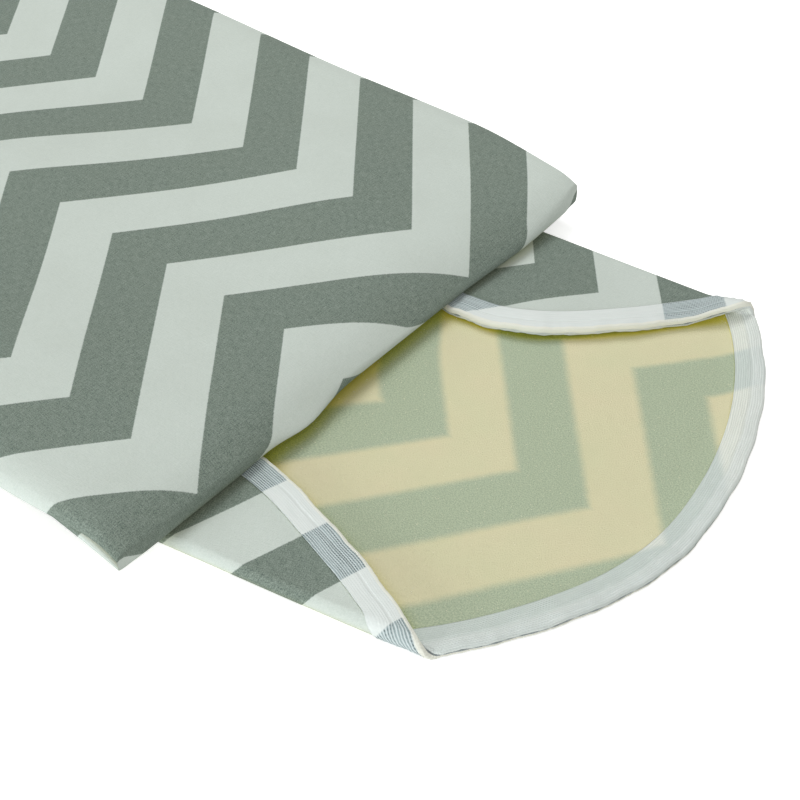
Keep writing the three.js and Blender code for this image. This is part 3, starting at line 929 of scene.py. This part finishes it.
def tape_material():
    """White ribbed elastic. Grey print shows through as dark dots, and faintly on the foam's side, where the
    ribs are darkened with painted shade.
    """
    shader = Shader("elastic_tape")
    _, s, v = shader.place("cloth")
    on_tape, length, inset = shader.place("tape")
    grey = shader.chevron(s, v, 0.6)
    drawn = shader.noise(on_tape, 1.0, stretch=(0.06, 0.2, 1))
    rows = shader.times(inset, 2 * math.pi / RIB)
    rib = shader.math("SINE", shader.add(rows, drawn, 7.0))
    loops = shader.math("SINE", shader.add(shader.times(length, 5.2), inset, 3.3))
    open_rows = shader.step(shader.noise(on_tape, 1.0, stretch=(0.035, 0.3, 1)), 0.4, 0.6)
    gaps = shader.times(shader.step(shader.add(rib, loops, 0.7), 0.2, 1.2), open_rows)
    streak = shader.noise(on_tape, 1.0, 3.0, stretch=(0.08, 3.0, 1))
    white = shader.between(streak, TAPE_WHITE)
    veiled = shader.between(shader.step(rib, -0.8, 0.6), TAPE_VEIL)
    on_cotton = shader.mix(grey, white, shader.over(gaps, veiled, TAPE_DOT))
    on_cotton = shader.over(shader.step(inset, 1.5, 0.7), on_cotton, TAPE_FOLD)
    on_foam = shader.between(shader.chevron(s, v, 2.5), TAPE_ON_FOAM)
    crease = FOAM_SIDE + CREASE
    bead = shader.times(shader.step(inset, crease + 1.5, crease - 1), 0.7)
    on_foam = shader.mix(bead, on_foam, white)
    # painted shade that follows the ribs on the foam's side
    on_foam = shader.over(shader.step(rib, -0.4, 1.0, 0.0, 0.2), on_foam, TAPE_RIB_SHADE)
    on_foam = shader.over(shader.step(streak, 0.55, 0.75, 0.0, 0.45), on_foam, TAPE_STREAK)
    foam_side = shader.math("GREATER_THAN", inset, FOAM_SIDE - 1)
    shader.set(Base_Color=shader.mix(foam_side, on_cotton, on_foam), Roughness=0.6)
    shader.set(Sheen_Weight=0.15, Sheen_Roughness=0.4, Specular_IOR_Level=0.35)
    raised = shader.mix(foam_side, shader.step(grey, 0.0, 1.0, TAPE_FLAT, 1.0), (*[TAPE_FOAM_RELIEF] * 3, 1))
    shader.bump(shader.times(shader.add(rib, loops, 0.6), raised), TAPE_RELIEF)
    return shader.material


LAYERS = {
    "cotton": (COTTON, cotton_material(), "printed_cotton"),
    "foam": (FOAM, foam_material(), "foam_pad"),
}
tape = tape_material()

# The pieces

STRIP_STEP = 4
BACK_STEP = 1.6
FRONT_STEP = 1.2
TAPE_STEP = 2.5
END_GAP = 8  # between the tail's end tape and its flaps
BASE_CLOTH = (lay_base, base_print)  # how a cloth is laid, and where its print lies
STRIP_CLOTH = (lay_strip, print_place)


def add_layers(name, grid, lay, printed, move, replaced, carries=(), carried=False):
    """A piece of the cotton and a piece of the foam, in the same folds. The arguments carries and carried
    are not used."""
    made = {}
    for layer_name, (depths, material, slot) in LAYERS.items():
        piece = add_sheet(f"{name}_{layer_name}_sheet", *grid, lay, printed, depths, material)
        move(piece)
        if replaced:
            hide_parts(*[node.format(layer_name) for node in replaced])
        made[layer_name] = piece
    return made["cotton"]


def rides(body):
    return lambda piece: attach(piece, body)


def frame_point(place):
    return tuple((np.array(place) + ORIGIN) * MM)


def bends():
    """Leaves a piece where it lies, with its place baked into its mesh; it rides no body."""
    return lambda piece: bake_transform(piece)


back_bend = bends()
front_bend = bends()
panels = {  # where each starts and ends, the step of its rows, and how it moves
    "back_fold": (S_BACK, S_TOP, BACK_STEP, back_bend),
    "top": (S_TOP, S_ROLL, STRIP_STEP, rides("top")),
    "front_fold": (S_ROLL, S_TAIL, FRONT_STEP, front_bend),
    "tail": (S_TAIL, S_END - EDGE, STRIP_STEP, rides("tail")),
}
PANEL_NODES = ("_{}", "_flap_left_{}", "_flap_right_{}")

strip_tapes = {}
for side, sign in SIDES.items():
    parts = []
    for start, end, step, _ in panels.values():
        s = np.linspace(start, end, max(3, round((end - start) / min(step, TAPE_STEP)) + 1))
        parts.append(np.stack([s, sign * strip_half_width(side, s)], -1))
    edge, marks = joined(parts)
    strip_tapes[side] = tape_surface(edge, -sign, *STRIP_CLOTH), marks

for order, (name, (start, end, step, move)) in enumerate(panels.items()):
    parts = PANEL_NODES if name in ("top", "tail") else PANEL_NODES[:1]
    nodes = [name + part for part in parts]
    add_layers(name, strip_grid(start, end, step), *STRIP_CLOTH, move, nodes)
    for side, surface_and_marks in strip_tapes.items():
        add_tape(f"{name}_{side}_tape", *surface_and_marks, order, move, f"{name}_flap_{side}_elastic")

# The tape across the tail's end lies on the flat sheet, between the flaps.
end_s = np.array(S_END)
ends = [
    sign * (strip_half_width(side, end_s) - 2 * LEAST_FLAP - ARC - END_GAP) for side, sign in SIDES.items()
]
end_v = np.arange(*ends, TAPE_STEP)
end_path = np.stack([np.full(end_v.shape, S_END), end_v], -1)
end_surface = tape_surface(end_path, 1, *STRIP_CLOTH)
add_tape("tail_end_tape", end_surface, [0, len(end_path) - 1], 0, rides("tail"), "tail_elastic_end")

base_nodes = ["base" + part for part in PANEL_NODES]
add_layers("base", base_grid(BACK_X, NOSE_SPLIT, STRIP_STEP), *BASE_CLOTH, rides("base"), base_nodes)
add_layers("nose", nose_grid(), *BASE_CLOTH, rides("base"), ["nose_{}"])

# The nose's flaps, each in a root and a tip that meet at a seam.
LIFT_FROM = {"left": 8, "right": 0}
LIFT_OVER = {"left": 14, "right": 18}
HINGE_TOP = SIDE_RADIUS  # a height on the fold, which helps set where a flap's root meets its tip
RIM_ROWS = (30, 36, 150, 36, 30)  # of the tape: left root, left tip, rim, right tip, right root
RIM_ORDER = {"left": (0, 1, 2), "right": (6, 5, 4)}  # of the base's tape, the flap's root and its tip
RIM_PLACE = 3  # and of the rim's


def seam_of(side):
    """The station where a flap's root meets its tip."""
    return LIFT_FROM[side] + LIFT_OVER[side] * ARC / HINGE_TOP


def hinge_bend(way):
    """The same as bends(), whichever way is given."""
    return bends() if way > 0 else bends()


def base_edge(side):
    """The cut edge along one side of the base."""
    at = np.linspace(BACK_X, NOSE_SPLIT, round((NOSE_SPLIT - BACK_X) / TAPE_STEP))
    return np.stack(flap_cloth(side, at, flap_width(side, at)), -1)


# The tape round the base and the nose is one surface, from the back on the left to the back on the right.
stations = {side: (NOSE_SPLIT, seam_of(side), corner_of(side)) for side in SIDES}
angles = [rim_angle("left", at) for at in stations["left"]]
angles += [rim_angle("right", at) for at in reversed(stations["right"])]
rim_parts = [
    np.stack(rim_point(np.linspace(start, end, rows))[:2], -1)
    for start, end, rows in zip(angles[:-1], angles[1:], RIM_ROWS)
]
rim_path, rim_marks = joined([base_edge("left"), *rim_parts, base_edge("right")[::-1]])
rim_surface = tape_surface(rim_path, 1, *BASE_CLOTH)

for side in SIDES:
    name = f"nose_{side}"
    seam = seam_of(side)
    lifting = bends()
    landing = hinge_bend(-1)
    grid = flap_grid(side, NOSE_SPLIT, seam, lying=False)
    rising, nodes = hinge_bend(1), [f"nose_fold_{side}_{{}}"]
    fold_root = add_layers(f"{name}_fold_root", grid, *BASE_CLOTH, rising, nodes, carried=True)
    grid = flap_grid(side, seam, corner_of(side), lying=False)
    fold_tip = add_layers(f"{name}_fold_tip", grid, *BASE_CLOTH, landing, [], carried=True)
    grid = flap_grid(side, NOSE_SPLIT, seam, lying=True)
    nodes = [f"nose_flap_{side}_{{}}"]
    add_layers(f"{name}_flap_root", grid, *BASE_CLOTH, lifting, nodes, [fold_root])
    grid = flap_grid(side, seam, tip_end(side), lying=True)
    add_layers(f"{name}_flap_tip", grid, *BASE_CLOTH, landing, [], [fold_tip])

    base, root, tip = RIM_ORDER[side]
    on_base, on_nose = (f"{part}_flap_{side}_elastic" for part in ("base", "nose"))
    add_tape(f"base_{side}_tape", rim_surface, rim_marks, base, rides("base"), on_base)
    add_tape(f"{name}_root_tape", rim_surface, rim_marks, root, lifting, on_nose)
    add_tape(f"{name}_tip_tape", rim_surface, rim_marks, tip, landing, on_nose)

add_tape("nose_rim_tape", rim_surface, rim_marks, RIM_PLACE, rides("base"), "nose_elastic")

# The stage

FLOOR = 20.0
FLOOR_GLOW = 0.56  # for the camera alone, so that the floor looks white and its shadows faint
WORLD_LIGHT = 0.47
COOL = (0.93, 0.96, 1)
CAMERA_PLACE = (306.5, -389.8, 442.1)
CAMERA_AZIMUTH = math.radians(39.19)
CAMERA_ELEVATION = math.radians(43.11)
CAMERA_LENS = 67.34
CAMERA_SENSOR = 36


def add_floor():
    """A pale floor that looks white to the camera but for the object's shadow."""
    points = np.array([[-1, -1, 0], [1, -1, 0], [1, 1, 0], [-1, 1, 0]]) * FLOOR
    mesh = bpy.data.meshes.new("floor")
    mesh.from_pydata(points.tolist(), [], [(0, 1, 2, 3)])
    floor = add_object("floor", mesh)
    shader = Shader("floor")
    shader.set(Base_Color=linear(FLOOR_COLOUR), Roughness=0.9, Specular_IOR_Level=0.1)
    shader.set(Emission_Color=(1, 1, 1, 1), Emission_Strength=shader.times(shader.seen(), FLOOR_GLOW))
    floor.data.materials.append(shader.material)


def aim(piece, way):
    piece.rotation_mode = "QUATERNION"
    piece.rotation_quaternion = way.to_track_quat("-Z", "Y")


def add_light(name, place, target, **settings):
    light = bpy.data.lights.new(name, "AREA")
    light.shape = "DISK"
    for key, value in settings.items():
        setattr(light, key, value)
    lamp = add_object(name, light)
    lamp.location = place
    aim(lamp, Vector(target) - Vector(place))


def add_world():
    """A white surround that lights the scene less than it shows."""
    world = Shader("studio", "worlds", "Background")
    given = {"Value": world.seen(), "To Min": WORLD_LIGHT, "To Max": 1}
    world.set(Color=(1, 1, 1, 1), Strength=world.node("MapRange", given).outputs[0])
    bpy.context.scene.world = world.material


add_floor()
add_world()
add_light("key", place=(-0.6, 0.75, 1.35), target=(0.1, 0, 0), size=0.8, energy=12.5)
add_light("fill", place=(0.9, -0.8, 0.9), target=(0.1, 0, 0), size=1, energy=4.2)
add_light("edge", place=(-0.1, -1.2, 0.2), target=(0.05, -0.1, 0.01), size=0.5, energy=8.5, color=COOL)

camera = add_object("camera", bpy.data.cameras.new("camera"))
camera.data.lens = CAMERA_LENS
camera.data.sensor_width = CAMERA_SENSOR
camera.location = frame_point(CAMERA_PLACE)
level = math.cos(CAMERA_ELEVATION)
back = (math.sin(CAMERA_AZIMUTH) * level, -math.cos(CAMERA_AZIMUTH) * level, math.sin(CAMERA_ELEVATION))
aim(camera, -Vector(back))
bpy.context.scene.camera = camera
bpy.context.scene.view_settings.view_transform = "Standard"
